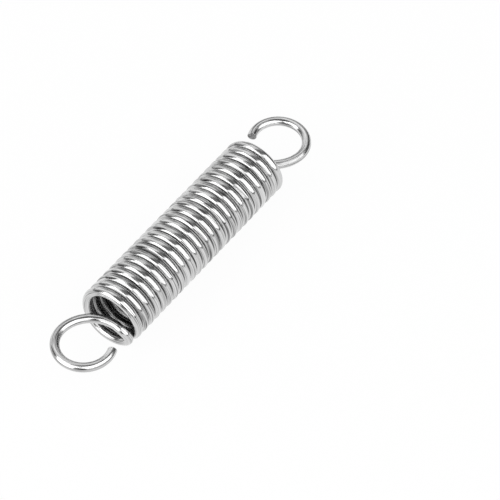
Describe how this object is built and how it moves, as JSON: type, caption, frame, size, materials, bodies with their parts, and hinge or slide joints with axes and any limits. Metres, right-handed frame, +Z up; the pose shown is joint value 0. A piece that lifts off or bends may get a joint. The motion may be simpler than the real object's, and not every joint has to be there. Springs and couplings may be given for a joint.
{
  "type": "extension spring",
  "caption": "Close-wound extension spring of round steel wire with a full loop over the centre at both ends, for pulling two points together.",
  "frame": {"origin": "centre of the bounding box at its lowest level, where the coil rests on the surface", "axes": "+X along the coil's axis from one loop to the other, +Z up, both loops flat and level in the plane through the axis"},
  "size_m": [0.0808, 0.014, 0.014],
  "materials": {
    "drawn_steel": "bright drawn spring wire with faint lines along its length"
  },
  "bodies": {
    "root": {"spring_wire": "drawn_steel"}
  },
  "joints": []
}
